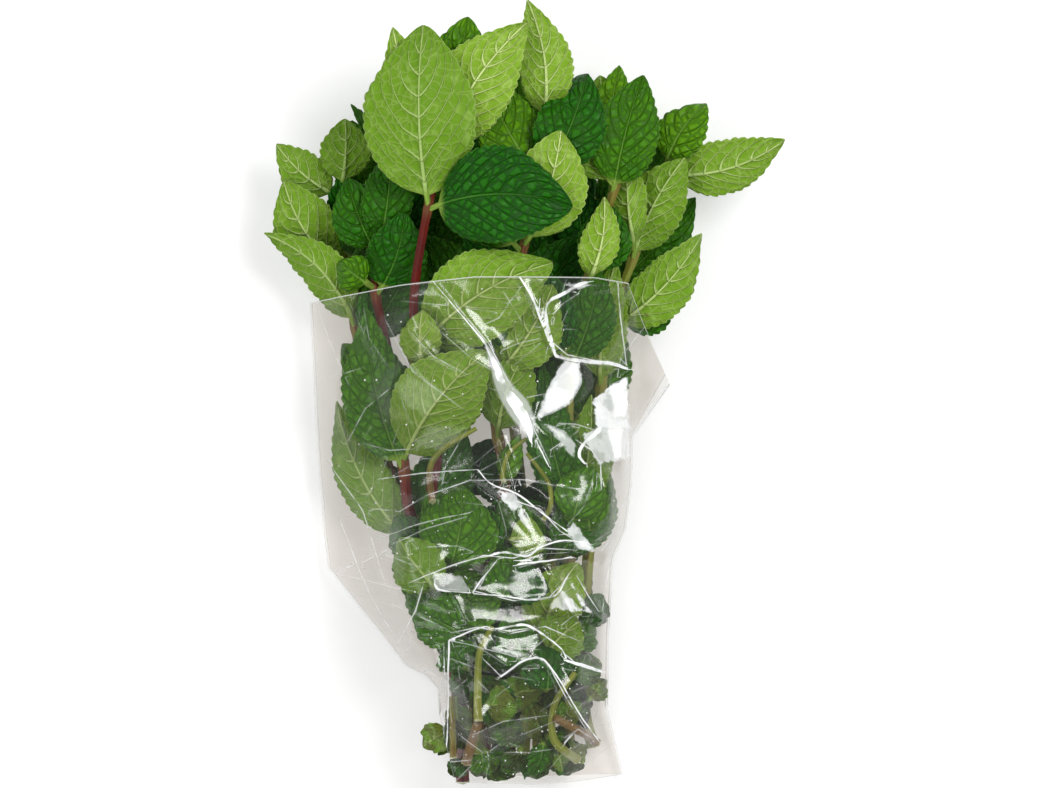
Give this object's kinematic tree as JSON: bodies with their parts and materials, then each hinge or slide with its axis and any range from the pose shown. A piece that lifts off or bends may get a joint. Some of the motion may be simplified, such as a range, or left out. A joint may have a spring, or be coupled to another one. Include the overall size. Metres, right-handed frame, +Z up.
{
  "type": "mint bunch in a clear sleeve",
  "caption": "Bunch of fresh mint sprigs with toothed leaves on square stems, lying in an open, crumpled sleeve of clear film with the leafy tips standing out of its mouth.",
  "frame": {"origin": "on the table, under the middle of the bunch's box", "axes": "+Y along the bunch from its cut ends to its leaf tips, +Z up from the table, +X to the right seen from above"},
  "size_m": [0.1624, 0.2437, 0.0643],
  "materials": {
    "leaf": "living leaf, satin, quilted between its veins",
    "stem": "square green stem flushed red-purple, finely haired",
    "film": "clear crumpled film, glossy, misted inside"
  },
  "bodies": {
    "root": {"sprig_1": "leaf", "sprig_2": "leaf", "sprig_3": "leaf", "sprig_4": "leaf", "sprig_5": "leaf", "sprig_6": "leaf", "sprig_7": "leaf", "sprig_8": "leaf", "sprig_9": "leaf", "sprig_10": "leaf", "sprig_11": "leaf", "sleeve": "film"}
  },
  "joints": []
}
